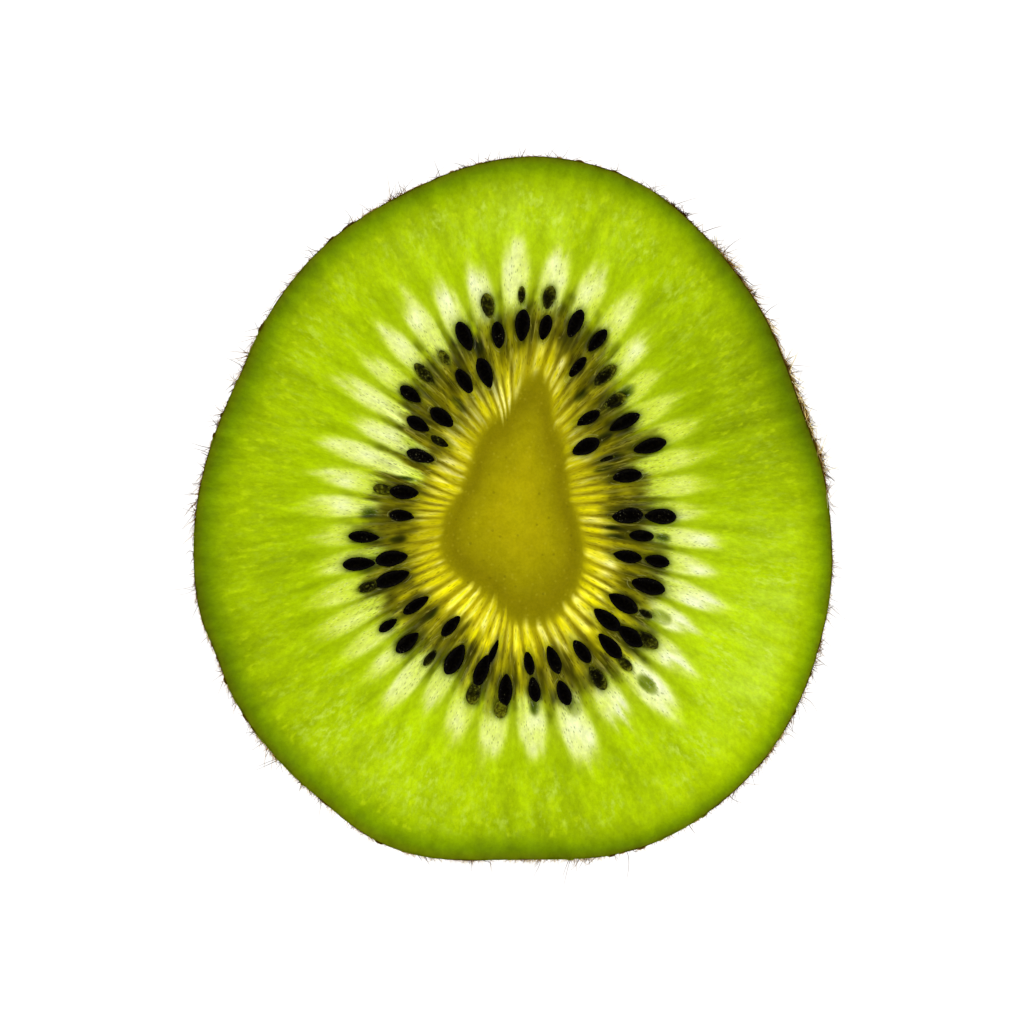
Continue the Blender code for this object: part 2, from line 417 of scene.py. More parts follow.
def cell_shape(around, distance):
    """How much a point lies in a cell's pulp (0 to 1), its share of the way out, place across and cell."""
    number = cell_number(turned(around, distance))
    nearest = np.rint(number)
    own = nearest.astype(int) % CELLS
    across = number - nearest
    core = core_distance(around)
    own_share = (distance - core) / (REACH[own] - core)
    feather = uneven(around, distance, FEATHER_NOISE)
    half_width = np.interp(own_share + 0.5 * feather, *zip(*CELL_WIDTHS))
    softness = EDGE_SOFTNESS + TIP_SOFTNESS * smooth(own_share, 0.75, 1.0)
    pulp = smooth(half_width - np.abs(across) + 0.5 * feather, -softness, softness)
    pulp *= 1 - smooth(own_share + feather, 0.78, 1.08)
    share = (distance - core) / (reach_between(number) - core)
    return pulp, share, across, own


def cell_paint(around, distance, outer):
    """Painted seed shade round the seeds, then pale pulp between green walls, and faint streaks into the
    flesh.
    """
    pulp, share, across, own = cell_shape(around, distance)
    start = PALE_FROM[own]
    white = varied(around, distance, *WHITENESS) - 2.4 * across**2
    white -= 0.35 * (1 - smooth(distance, start, start + 2.2))
    pale = mix(PULP_GREEN, PULP_WHITE, np.clip(white, 0, 1.1))
    lit = smooth(distance + 0.5 * patches(around, distance, 300, 1.5, 25), start - 1.3, start + 0.3)
    fibre = 1 + uneven(around, distance, FIBRE_NOISE) * (1 - smooth(share, 0.58, 0.80))
    thread = smooth(patches(around, distance, 400, 1.8, 27), 0.42, 0.80) * (1 - smooth(share, 0.48, 0.66))
    wall = mix(ramp(share, WALL) * fibre[..., None], outer, smooth(share, 0.70, 1.05))
    wall = mix(wall, THREAD, 0.22 * thread)
    belt = mix(ramp(share, BELT) * (fibre * OWN_LIGHT[own])[..., None], THREAD, 0.34 * thread)
    tip_streak = 0.07 * np.exp(-((across / 0.20) ** 2)) * (1 - smooth(share, 0.98, 1.30))
    wall_streak = 0.05 * np.exp(-(((np.abs(across) - 0.5) / 0.13) ** 2)) * (1 - smooth(share, 1.05, 1.7))
    wall = wall * (1 + (tip_streak - wall_streak) * smooth(share, 0.85, 1.0))[..., None]
    return mix(wall, mix(belt, pale, lit), pulp), share


# %% [markdown]
# The seeds hang from the core on yellow strips, about three to every two cells, with thin dark lines
# between them. Each strip begins at the core's edge with a rounded, bright end, at its own distance. The
# core itself is darkest just inside that edge.

# %% Paint: strips and core
STRIPS = 62
STRIP_WAVES = ((7, 0.28, 20), (13, 0.20, 50), (3, 0.25, 110))
STRIP = (
    (-0.3, (170, 160, 0)), (0.2, (198, 188, 2)), (0.8, (210, 200, 6)), (1.5, (210, 200, 8)),
    (2.4, (184, 174, 6)), (3.4, (136, 128, 4)),
)
STRIP_LIGHT = 1.0, (
    (0.13, 240, 20), (0.12, 272, 14), (0.16, 303, 20), (0.08, 332, 12), (-0.13, 33, 18), (-0.06, 62, 12),
    (0.05, 90, 12), (-0.07, 122, 12), (-0.05, 150, 12), (-0.08, 190, 22),
), ((0.05, 330, 1.2, 32), (0.12, 40, 3.0, 35), (0.02, 240, 0.5, 30))
CREAM = rgb(246, 240, 150)
CREAMINESS = 0.03, (
    (0.42, 100, 48), (0.26, 306, 20), (0.16, 333, 12), (0.12, 150, 18), (0.36, 240, 14), (-0.12, 272, 12),
), ((0.46, 300, 0.9, 34), (0.50, 130, 2.0, 37))
LINE = ((0.0, (168, 156, 3)), (1.0, (158, 146, 4)), (2.0, (120, 110, 4)), (3.0, (96, 90, 6)))
LINE_LIGHT_BUMPS = ((0.34, 240, 16), (0.12, 272, 14), (0.10, 210, 12))
WALL_FOOT, WALL_FOOT_WIDTH = 1.9, 0.8  # mm past the core's edge
WALL_FOOT_LIGHT_BUMPS = (
    (-0.14, 34, 20), (-0.07, 62, 12), (-0.16, 120, 14), (-0.06, 150, 12), (0.10, 240, 16), (0.08, 272, 14),
    (0.06, 335, 14),
)
CORE = (
    (0.0, (172, 163, 2)), (0.3, (168, 157, 2)), (0.5, (157, 148, 1)), (0.7, (142, 133, 1)),
    (0.82, (129, 119, 0)), (0.92, (134, 125, 0)), (1.0, (150, 141, 1)),
)
strip_random = np.random.default_rng(31).uniform(-1, 1, (3, STRIPS))
print("strips:", STRIPS, "for", CELLS, "cells")


def strip_shape(around, distance):
    """How much a point lies on a strip, how far past the core's edge it is, and the strip's lightness."""
    number = wavy(around, 0.0, STRIP_WAVES) + turned(around, distance) * STRIPS / 360
    nearest = np.rint(number)
    across = number - nearest
    own = nearest.astype(int) % STRIPS
    past = distance - core_distance(around)
    start = -0.22 + 0.22 * strip_random[0, own] + 1.6 * across**2
    flat = np.exp(-((np.abs(across) / (0.35 + 0.09 * strip_random[1, own])) ** 4))
    light = varied(around, distance, *STRIP_LIGHT) + 0.09 * strip_random[2, own]
    return flat * smooth(past, start - 0.15, start + 0.45), past, light


def inner_paint(around, distance, cells, share):
    """Core, then strips and the dark lines between them, handing over to the cells further out."""
    strip, past, light = strip_shape(around, distance)
    line_light = 1 + wavy(around, 0.0, (), LINE_LIGHT_BUMPS) * smooth(past, 0.0, 1.5)
    line = mix(ramp(distance / core_distance(around), CORE), ramp(past, LINE), smooth(past, -0.3, 0.4))
    pale = np.clip(varied(around, distance, *CREAMINESS), 0, 1)
    strips = mix(ramp(past, STRIP), CREAM, pale * (1 - smooth(past, 2.2, 3.4)))
    strips = mix(line * line_light[..., None], strips * light[..., None], strip)
    colour = mix(strips, cells, smooth(share + 0.06 * patches(around, distance, 200, 2.0, 33), 0.14, 0.30))
    foot_light = 1 + wavy(around, 0.0, (), WALL_FOOT_LIGHT_BUMPS) * bell(past, WALL_FOOT, WALL_FOOT_WIDTH)
    return colour * foot_light[..., None]


# %% [markdown]
# Last, every seed casts its shade into the clear flesh. The shade falls off like a bell from the seed's
# oval, and takes more from blue than from red or green, as a deep yellow liquid does. Then the whole face
# is ready.

# %% Paint: seed shade and the whole face
SEED_SHADES = (
    (BARE_SEEDS, 1.28, 4, (0.28, 0.25, 0.38)), (VEILED_SEEDS, 1.28, 4, (0.30, 0.27, 0.42)),
    (DEEP_SEEDS, 0.95, 4, (0.60, 0.55, 0.82)), (GHOST_SEEDS[:1], 1.0, 8, (0.53, 0.47, 0.88)),
    (GHOST_SEEDS[1:], 1.0, 8, (0.30, 0.27, 0.50)),
)
MILK_BUMPS = ((0.70, 84, 26), (0.55, 240, 22), (0.85, 322, 30), (0.30, 135, 15), (0.35, 275, 15))


def seed_paint(colour, around, distance):
    """Shade that falls off like a bell round each seed."""
    x, y = fan_xy(around, distance)
    cloudy = 1 + 0.30 * patches(around, distance, 260, 0.6, 36)
    for seeds, reach, power, shade in SEED_SHADES:
        for radius in seed_radii(x, y, seeds):
            fall = cloudy * np.exp(-((radius / reach) ** power))
            colour = colour * (1 - np.array(shade) * fall[..., None])
    return colour


def face_paint(around, distance):
    """The light values of the cut face at every point."""
    around, distance = np.broadcast_arrays(around, distance)
    cells, share = cell_paint(around, distance, outer_paint(around, distance))
    colour = inner_paint(around, distance, cells, share)
    return linear(seed_paint(colour, around, distance))


def face_layers(around, distance):
    """Where the node textures act: milk in the flesh, specks in the pulp and brown ones near the core."""
    around, distance = np.broadcast_arrays(around, distance)
    pulp, share, _, own = cell_shape(around, distance)
    inside = cut_edge(around) - distance
    milk = wavy(around, 0.10, (), MILK_BUMPS) * smooth(inside, 1.4, 3.6) * smooth(share, 0.95, 1.2)
    specks = pulp * smooth(distance, PALE_FROM[own] - 1.0, PALE_FROM[own])
    past = distance - core_distance(around)
    brown = smooth(past, 0.0, 0.6) * (0.70 + 0.30 * smooth(past, 1.8, 3.4))
    brown = brown * (1 - smooth(share, 0.50, 0.70))
    return np.stack([milk, specks, brown], axis=-1)


print("the core's middle, light values:", face_paint(np.zeros(1), np.zeros(1)).round(3).tolist())

# %% [markdown]
# ## The relief of the cut face
#
# A knife leaves the cut face almost flat, but the soft pulp sinks a little, the walls and strips stay up,
# and each seed sits in a pocket. These are tenths of a millimetre, and they give the wet surface its
# glints.

# %% Relief
BED_DEPTH, WALL_HEIGHT, STRIP_HEIGHT, POCKET_DEPTH, EDGE_DROP = 0.14, 0.05, 0.06, 0.12, 0.04
POCKET_SIZE = 1.25  # as a multiple of the seed's own oval
CORE_CROWN = 0.14
LUMPS_AND_FIBRES = ((0.03, 70, 2.2, 41), (0.022, 300, 1.0, 42))


def relief(around, distance):
    """Height off the face, in mm: lumps and fibres, minus beds and pockets, plus strips and a crown."""
    around, distance = np.broadcast_arrays(around, distance)
    pulp, share, _, _ = cell_shape(around, distance)
    strip, past, _ = strip_shape(around, distance)
    height = uneven(around, distance, LUMPS_AND_FIBRES) * smooth(past, 0.0, 0.6)
    height += WALL_HEIGHT * smooth(past, 0.3, 2.0) * (1 - smooth(share, 0.9, 1.15))
    height -= (BED_DEPTH + WALL_HEIGHT) * pulp * smooth(share, 0.30, 0.55)
    height += STRIP_HEIGHT * strip * (1 - smooth(share, 0.15, 0.40))
    height += CORE_CROWN * smooth(-past, 0.0, 3.0)
    height -= EDGE_DROP * (1 - smooth(cut_edge(around) - distance, 0.0, 0.7)) ** 2
    for radius in seed_radii(*fan_xy(around, distance), BARE_SEEDS + VEILED_SEEDS):
        height -= POCKET_DEPTH * np.exp(-((radius / POCKET_SIZE) ** 4))
    return height


heights = relief(half_degrees, np.arange(1.0, 24.0, 0.5)[:, None])
print("relief, mm:", heights.min().round(2), "to", heights.max().round(2))

# %% [markdown]
# ## Meshes from rings
#
# Each flesh piece is a closed loft. Its sections are rings that run up the outside, inward over the cut
# face, down the inside and back along the underside, so the last ring joins the first and nothing is left
# open. The arrays hold one row for each ring. Neighbouring pieces use the same directions, so their edges
# match exactly.

# %% Mesh makers
AROUND = np.arange(800)[None, :] * 360 / 800
GRAIN_RADIUS, GRAIN_ALONG = 17.0, 0.5
FAR_FROM_SEEDS = 4.0
ATTRIBUTE_FIELDS = {"FLOAT": "value", "FLOAT_VECTOR": "vector", "FLOAT_COLOR": "color"}


def ring_faces(rows, count, closed):
    """Four-sided faces between following rings, and from the last back to the first if closed."""
    start = np.arange(rows if closed else rows - 1)[:, None] * count
    here, beside = np.arange(count)[None, :], (np.arange(count)[None, :] + 1) % count
    above = (start + count) % (rows * count)
    return np.stack([start + here, start + beside, above + beside, above + here], axis=-1).reshape(-1, 4)


def tip_faces(rows, count):
    """Triangles from a stack of rings to two added points: before the first ring and after the last."""
    here, tip, last = np.arange(count), np.full(count, rows * count), (rows - 1) * count
    beside = (here + 1) % count
    corners = np.array([(tip, beside, here), (tip + 1, last + here, last + beside)])
    return corners.transpose(0, 2, 1).reshape(-1, 3)


def store(piece, name, kind, values):
    """Keep one value, vector or colour for each point as a named attribute, which materials can read."""
    if kind == "FLOAT_COLOR":
        values = np.concatenate([values.reshape(-1, 3), np.ones((values.size // 3, 1))], axis=1)
    attribute = piece.data.attributes.new(name, kind, "POINT")
    attribute.data.foreach_set(ATTRIBUTE_FIELDS[kind], values.astype(np.float32).ravel())


def add_piece(name, points_mm, faces, material, smooth_angle=40):
    """A mesh object at the origin, from points in millimetres, riding on the slice's one body."""
    mesh = bpy.data.meshes.new(name)
    mesh.from_pydata((points_mm.reshape(-1, 3) / 1000).tolist(), [], faces)
    mesh.materials.append(material)
    mesh.shade_smooth()
    mesh.set_sharp_from_angle(angle=math.radians(smooth_angle))
    piece = bpy.data.objects.new(name, mesh)
    bpy.context.scene.collection.objects.link(piece)
    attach(piece, "root")
    mesh.calc_loop_triangles()
    print(f"{name}: {len(mesh.loop_triangles)} triangles")
    return piece


def add_loft(name, around, distance, height, material, smooth_angle=40):
    """A closed loft: one row of distances and heights for each ring, and the last ring joins the first."""
    points = np.stack([*fan_xy(around, distance), height], axis=-1)
    return add_piece(name, points, ring_faces(*distance.shape, True).tolist(), material, smooth_angle)


def dress(piece, around, distance):
    """Paint, layers, and a grain vector: the direction on a circle, and the distance at half scale."""
    angle = np.radians(turned(around, distance))
    on_circle = [GRAIN_RADIUS * np.cos(angle), GRAIN_RADIUS * np.sin(angle)]
    store(piece, "paint", "FLOAT_COLOR", face_paint(around, distance))
    store(piece, "layers", "FLOAT_COLOR", face_layers(around, distance))
    store(piece, "grain", "FLOAT_VECTOR", np.stack([*on_circle, GRAIN_ALONG * distance], axis=-1))
    radii = np.stack(list(seed_radii(*fan_xy(around, distance), BARE_SEEDS)))
    store(piece, "seed_radius", "FLOAT", np.minimum(radii.min(axis=0), FAR_FROM_SEEDS))


# %% [markdown]
# ## Node helpers
#
# A material is a small network of nodes. Written out one by one they hide what they do, so here a node's
# output is wrapped as a field, which can be used like a number: times another, with noise on it, or carried
# to other limits. A material then reads like a recipe: what goes on, how much, and where.

# %% Node helpers
def display(red, green, blue):
    """A display colour as a socket's value."""
    return (*linear(rgb(red, green, blue)).tolist(), 1.0)


class Field:
    """One output of a new node, whose inputs are given as (name or number, value or field) pairs."""

    def __init__(self, tree, kind, inputs=(), output=0, **settings):
        self.tree, self.node = tree, tree.nodes.new(kind)
        for name, value in settings.items():
            setattr(self.node, name, value)
        for key, value in inputs:
            if isinstance(value, Field):
                value.link(self.node, key)
            else:
                self.node.inputs[key].default_value = value
        self.socket = self.node.outputs[output]

    def link(self, node, key):
        self.tree.links.new(self.socket, node.inputs[key])

    def part(self, output):
        """Another output of the same node."""
        other = copy.copy(self)
        other.socket = self.node.outputs[output]
        return other

    def maths(self, operation, other=0.0):
        return Field(self.tree, "ShaderNodeMath", [(0, self), (1, other)], operation=operation)

    def __mul__(self, other):
        return self.maths("MULTIPLY", other)

    def spread(self, start, end, low=0.0, high=1.0):
        """The value carried from start..end to low..high with soft ends."""
        inputs = enumerate((self, start, end, low, high))
        return Field(self.tree, "ShaderNodeMapRange", inputs, "Result", interpolation_type="SMOOTHSTEP")

    def contours(self, level, width):
        """Thin lines where the value passes a level, like the lines of equal height on a map."""
        return self.maths("SUBTRACT", level).maths("ABSOLUTE").spread(0.0, width, 1.0, 0.0)

    def drawn_out(self, along):
        """The grain vector with its part along the ray made smaller, so that patterns on it get longer."""
        inputs = [(0, self), (1, (1.0, 1.0, along))]
        return Field(self.tree, "ShaderNodeVectorMath", inputs, operation="MULTIPLY")

    def noise(self, scale, detail=2.0, roughness=0.5):
        inputs = [("Vector", self), ("Scale", scale), ("Detail", detail), ("Roughness", roughness)]
        return Field(self.tree, "ShaderNodeTexNoise", inputs, "Fac")

    def spots(self, scale, start, end, kept=1.0):
        """Round spots that fade out between two distances; a share is kept, by their random colour."""
        cells = Field(self.tree, "ShaderNodeTexVoronoi", [("Vector", self), ("Scale", scale)], "Distance")
        near = cells.spread(start, end, 1.0, 0.0)
        if kept == 1.0:
            return near
        return near * cells.part("Color").channels()[0].spread(1 - kept, 1.08 - kept)

    def channels(self):
        split = Field(self.tree, "ShaderNodeSeparateColor", [(0, self)])
        return [split.part(channel) for channel in range(3)]

    def shades(self, first, second):
        """One colour where this value is 0, another where it is 1; each is three numbers or a field."""
        first, second = [end if isinstance(end, Field) else display(*end) for end in (first, second)]
        inputs = [(0, self), (6, first), (7, second)]
        return Field(self.tree, "ShaderNodeMix", inputs, 2, data_type="RGBA")

    def times_colour(self, light):
        """This colour made lighter or darker by a value."""
        inputs = [(0, 1.0), (6, self), (7, light)]
        return Field(self.tree, "ShaderNodeMix", inputs, 2, data_type="RGBA", blend_type="MULTIPLY")


def attribute_of(tree, name, output="Color"):
    return Field(tree, "ShaderNodeAttribute", (), output, attribute_name=name)


def object_place(tree):
    return Field(tree, "ShaderNodeTexCoord", (), "Object")


def new_material(name, **sockets):
    """A material with one Principled shader, whose constant sockets are given by name."""
    material = bpy.data.materials.new(name)
    material.use_nodes = True
    for key, value in sockets.items():
        material.node_tree.nodes["Principled BSDF"].inputs[key.replace("_", " ")].default_value = value
    return material, material.node_tree


def finish(tree, colour, gloss, bump):
    """Link the colour, roughness as (noise, low, high), and bump as (height, strength, depth in mm)."""
    shader = tree.nodes["Principled BSDF"]
    colour.link(shader, "Base Color")
    gloss[0].spread(0.3, 0.7, *gloss[1:]).link(shader, "Roughness")
    inputs = [("Height", bump[0]), ("Strength", bump[1]), ("Distance", bump[2] / 1000)]
    Field(tree, "ShaderNodeBump", inputs).link(shader, "Normal")


# %% [markdown]
# ## Wet flesh as a material
#
# The base colour is the painted one. Small textures ride on the grain vector, so they follow the fibres and
# have no seam: a mottle, a painted glow, milky patches and flecks, fine lines near the core, and specks,
# which are spots drawn out along the ray. A pale line of painted light runs round some seeds, where the
# juice stands against them. A wet face is glossy but not a mirror, so the roughness is uneven and a thin
# clear coat lies on top.

# %% Wet flesh
# GLOW_RGB and HALO_RGB are painted light.
GLOW_RGB, MILK_RGB, FLECK_RGB, HALO_RGB = (204, 230, 16), (208, 234, 84), (248, 255, 214), (196, 196, 120)
# Lines have a scale, a width, an amount and a colour; specks have a layer, a scale, a share and the same.
LINES = ((1.7, 0.022, 0.50, (38, 32, 0)), (1.3, 0.018, 0.30, (204, 196, 84)))
SPECKS = ((1, 7.0, 0.58, 0.54, (110, 128, 26)), (2, 5.0, 0.55, 0.70, (60, 46, 0)))


def make_flesh():
    material, tree = new_material(
        "wet_flesh", Specular_IOR_Level=0.09, Coat_Weight=0.03, Coat_Roughness=0.12,
    )
    grain = attribute_of(tree, "grain", "Vector")
    streaky, fibres = grain.drawn_out(0.8), grain.drawn_out(0.3)
    layers = attribute_of(tree, "layers").channels()
    in_flesh, in_pulp, near_core = layers
    mottle = grain.noise(3.4, 6.0, 0.76).spread(0.28, 0.72, 0.85, 1.14)
    colour = attribute_of(tree, "paint").times_colour(mottle)
    # The glow is painted light: brighter yellow-green streaks in the outer flesh.
    glow = streaky.noise(2.3, 3.0, 0.6).spread(0.52, 0.72) * in_flesh.spread(0.0, 0.08)
    colour = (glow * 0.40).shades(colour, GLOW_RGB)
    milk = streaky.noise(3.1, 4.0, 0.64).spread(0.46, 0.70) * grain.noise(0.7).spread(0.36, 0.66)
    colour = (milk * in_flesh).shades(colour, MILK_RGB)
    fleck = grain.noise(6.0, 3.0, 0.6).spread(0.54, 0.74) * in_pulp
    colour = (fleck * 0.22).shades(colour, FLECK_RGB)
    streaks = fibres.noise(2.3, 2.5, 0.55).spread(0.3, 0.7, 0.80, 1.17)
    colour = near_core.shades(colour, colour.times_colour(streaks))
    some = grain.noise(0.8).spread(0.42, 0.62) * near_core
    for scale, width, amount, over in LINES:
        colour = (fibres.noise(scale).contours(0.5, width) * some * amount).shades(colour, over)
    for layer, scale, kept, amount, over in SPECKS:
        dash = grain.drawn_out(0.7).spots(scale, 0.12, 0.40, kept)
        colour = (dash * layers[layer] * amount).shades(colour, over)
    # The halo is a painted line of light round the bare seeds.
    halo = attribute_of(tree, "seed_radius", "Fac").contours(1.12, 0.05)
    halo = halo * grain.noise(1.6).spread(0.50, 0.62)
    colour = (halo * 0.26).shades(colour, HALO_RGB)
    finish(tree, colour, (grain.noise(2.5), 0.26, 0.42), (grain.noise(7.0, 3.0), 0.35, 0.03))
    print("wet flesh:", len(tree.nodes), "nodes")
    return material


flesh_material = make_flesh()

# %% [markdown]
# ## The outer flesh
#
# This piece reaches from the scalloped ring of cells to just inside the skin, right through the slice.

# %% Outer flesh
SKIN_THICKNESS, SKIN_THICKNESS_BUMPS, FOOT_THICKNESS = 0.05, ((0.06, 25, 22),), 0.10
FACE_ROWS, SIDE_ROWS, UNDER_ROWS = 46, 8, 14
UNDER_LIFT = 0.05


def under_height(around, distance):
    """The underside, nearly flat, just off the table except at the skin."""
    inside = cut_edge(around) - distance
    return UNDER_LIFT * smooth(inside, 0.2, 1.5) * (1 + 0.4 * patches(around, distance, 90, 1.5, 43))


def between(first, second, rows):
    """Rows from one ring of distances to another, evenly."""
    shares = np.linspace(0, 1, rows)[:, None]
    return first * (1 - shares) + second * shares


def flesh_side(around, up):
    """The flesh stops short of the skin's outside by the skin's thickness, which grows toward the foot."""
    thickness = wavy(around, SKIN_THICKNESS, (), SKIN_THICKNESS_BUMPS) + FOOT_THICKNESS * (1 - up)
    return side_distance(around, up) - thickness


def make_outer_flesh():
    up = np.linspace(0, 1, SIDE_ROWS)[:, None]
    side = flesh_side(AROUND, up)
    face = between(side[-1:], ring_edge(AROUND), FACE_ROWS)[1:]
    under = between(ring_edge(AROUND), side[:1], UNDER_ROWS)[:-1]
    side_height = up * THICKNESS + (up == 1) * relief(AROUND, side)
    height = np.concatenate([side_height, THICKNESS + relief(AROUND, face), under_height(AROUND, under)])
    distance = np.concatenate([side, face, under])
    piece = add_loft("flesh", AROUND, distance, height, flesh_material)
    dress(piece, AROUND, distance)
    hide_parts("outer_flesh")


make_outer_flesh()

# %% [markdown]
# ## The ring of cells
#
# The same loft again, from the scallops in to the core. It has the finest mesh, because the strips, the
# seed pockets and the cells' outlines are all here.

# %% Ring of cells
RING_ROWS, RING_UNDER_ROWS = 92, 20


def make_ring():
    outer, inner = ring_edge(AROUND), core_distance(AROUND)
    face, under = between(outer, inner, RING_ROWS), between(inner, outer, RING_UNDER_ROWS)
    height = np.concatenate([THICKNESS + relief(AROUND, face), under_height(AROUND, under)])
    distance = np.concatenate([face, under])
    piece = add_loft("seed_cells", AROUND, distance, height, flesh_material)
    dress(piece, AROUND, distance)
    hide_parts("locule_ring")


make_ring()

# %% [markdown]
# ## The core
#
# The core is dense and fine-grained, with no fibres. Its rings are its own outline at a shrinking share,
# and a single point closes each end. Its grain is even in all directions, so its material reads object
# coordinates.

# %% Core
CORE_ROWS, CORE_UNDER_ROWS = 26, 10
CORE_SPOTS = ((900.0, 0.07, 0.13, 0.35, (92, 84, 4)), (1700.0, 0.06, 0.26, 0.14, (214, 204, 50)))


def make_core_material():
    material, tree = new_material(
        "core_flesh", Specular_IOR_Level=0.07, Coat_Weight=0.02, Coat_Roughness=0.2,
    )
    place = object_place(tree)
    fine = place.noise(5200, 3.0, 0.6).spread(0.3, 0.7, 0.93, 1.07)
    broad = place.noise(900, 3.0, 0.6).spread(0.3, 0.7, 0.94, 1.06)
    colour = attribute_of(tree, "paint").times_colour(fine * broad)
    for scale, start, end, amount, over in CORE_SPOTS:
        colour = (place.spots(scale, start, end) * amount).shades(colour, over)
    finish(tree, colour, (place.noise(1800), 0.34, 0.46), (place.noise(4200, 3.0), 0.3, 0.03))
    return material


def make_core():
    outline = np.stack(fan_xy(AROUND, core_distance(AROUND)), axis=-1)
    middle = outline[0].mean(axis=0)
    outward, inward = np.linspace(0, 1, CORE_UNDER_ROWS)[1:], np.linspace(1, 0, CORE_ROWS)[:-1]
    shares = np.concatenate([outward, inward])[:, None]
    distance = core_distance(AROUND) * shares
    under = under_height(AROUND, distance[: CORE_UNDER_ROWS - 1])
    top = THICKNESS + relief(AROUND, distance[CORE_UNDER_ROWS - 1:])
    flat = middle + (outline - middle) * shares[..., None]
    points = np.concatenate([flat, np.concatenate([under, top])[..., None]], axis=-1).reshape(-1, 3)
    tips = [[*middle, under[0].mean()], [*middle, top[-1].mean()]]
    faces = ring_faces(*distance.shape, False).tolist() + tip_faces(*distance.shape).tolist()
    piece = add_piece("heart", np.concatenate([points, tips]), faces, make_core_material())
    colours = face_paint(AROUND, distance)
    ends = [colours[0].mean(axis=0), colours[-1].mean(axis=0)]
    store(piece, "paint", "FLOAT_COLOR", np.concatenate([colours.reshape(-1, 3), ends]))
    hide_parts("core")


make_core()

# %% [markdown]
# ## Seeds as shapes
#
# A kiwi seed is a flattened drop: pointed where it hung on its strip, blunt at the other end. One drop is
# made as rings along its length, and all seeds of one kind are that drop stretched, turned and laid in
# place as one mesh. The underside has its own seeds, flush with the cut. A bare seed is nearly black with a
# few painted glints of light. A veiled one is seen through a film of flesh, which covers its rim and its
# outer end more.

# %% Seeds
SEED_RINGS, SEED_SIDES = 12, 16
SEED_FLATNESS = 0.48
BARE_SUNK, VEILED_SUNK = 0.08, 0.15
UNDER_SEED_LIFT, UNDER_SEED_SUNK = 0.01, 0.55
OWN_VEIL = {
    (266.0, 11.1): 0.75, (172.0, 10.4): 0.5, (305.6, 12.4): 0.4, (257.0, 10.5): 0.2, (116.5, 9.6): 0.4,
    (80.6, 12.3): 0.15, (97.6, 11.5): 0.3, (315.2, 12.9): 0.15, (125.4, 10.1): 0.05,
}


def drop_shape():
    """A drop of length 2 and width 2: an ellipse turned about its length, slimmer toward the tip."""
    bow = np.linspace(0, np.pi, SEED_RINGS + 2)[1:-1]
    share = (1 - np.cos(bow)) / 2
    radius = np.sin(bow) ** 1.1 * (0.70 + 0.54 * share - 0.24 * share**3)
    turn = np.arange(SEED_SIDES) * 2 * np.pi / SEED_SIDES
    x = np.broadcast_to((share * 2 - 1)[:, None], (SEED_RINGS, SEED_SIDES))
    rings = np.stack([x, radius[:, None] * np.cos(turn), radius[:, None] * np.sin(turn)], axis=-1)
    return np.concatenate([rings.reshape(-1, 3), [[-1, 0, 0], [1, 0, 0]]])


DROP = drop_shape()


def rotated(first, second, angle):
    """A plane turn: first cos a - second sin a, and first sin a + second cos a."""
    cosine, sine = math.cos(angle), math.sin(angle)
    return first * cosine - second * sine, first * sine + second * cosine


def lay_seeds(seeds, heights, tilts):
    """All the seeds' points: the drop scaled to each seed's size, tipped, turned to its axis and moved."""
    found = []
    for (x, y, axis, half_length, half_width), height, tilt in zip(seed_frames(seeds), heights, tilts):
        long, wide, tall = (DROP * [half_length, half_width, half_width * SEED_FLATNESS]).T
        long, tall = rotated(long, tall, tilt)
        long, wide = rotated(long, wide, axis)
        found.append(np.stack([x + long, y + wide, np.maximum(height + tall, UNDER_SEED_LIFT)], axis=-1))
    return found


def under_seeds(seeds, seed):
    """The same kind of layout for the underside, moved a little along and round."""
    moved = np.random.default_rng(seed).uniform(-1, 1, (len(seeds), 2))
    return tuple(
        (direction + 2.0 * turn, distance + 0.6 * shift, length * 0.9, width, lean)
        for (direction, distance, length, width, lean), (turn, shift) in zip(seeds, moved)
    )


def add_seeds(name, seeds, sunk, material, seed):
    """Seeds in the cut face, their middles sunk this many mm, and seeds flush with the underside."""
    tall = np.array([row[3] for row in seeds]) / 2 * SEED_FLATNESS
    tilts = np.radians(np.random.default_rng(seed).uniform(-5, 5, len(seeds)))
    solids = lay_seeds(seeds, np.full(len(seeds), THICKNESS - sunk), tilts)
    solids += lay_seeds(under_seeds(seeds, seed), UNDER_SEED_SUNK * tall, tilts * 0)
    quads, tips = ring_faces(SEED_RINGS, SEED_SIDES, False), tip_faces(SEED_RINGS, SEED_SIDES)
    faces = []
    for first in range(0, len(solids) * len(DROP), len(DROP)):
        faces += (quads + first).tolist() + (tips + first).tolist()
    piece = add_piece(name, np.concatenate(solids), faces, material, 60)
    veil = np.array([OWN_VEIL.get(row[:2], 0.0) for row in seeds * 2])[:, None]
    veil = veil + smooth(np.hypot(DROP[:, 0], DROP[:, 1]), 0.62, 1.10) + 0.35 * smooth(DROP[:, 0], 0.1, 0.9)
    store(piece, "veil", "FLOAT", np.clip(veil, 0, 1))


def make_seed_material():
    material, tree = new_material("seed_coat", Specular_IOR_Level=0.015)
    place = object_place(tree)
    pits = place.noise(5000, 3.0, 0.6)
    # The glints are painted highlights on the seed coat.
    glints = place.noise(8000).spread(0.62, 0.74) * place.noise(700, 1.0).spread(0.56, 0.68)
    colour = (glints * 0.6).shades(pits.spread(0.45, 0.75).shades((2, 1, 1), (12, 10, 3)), (112, 110, 84))
    finish(tree, colour, (pits, 0.22, 0.40), (pits, 0.3, 0.02))
    return material


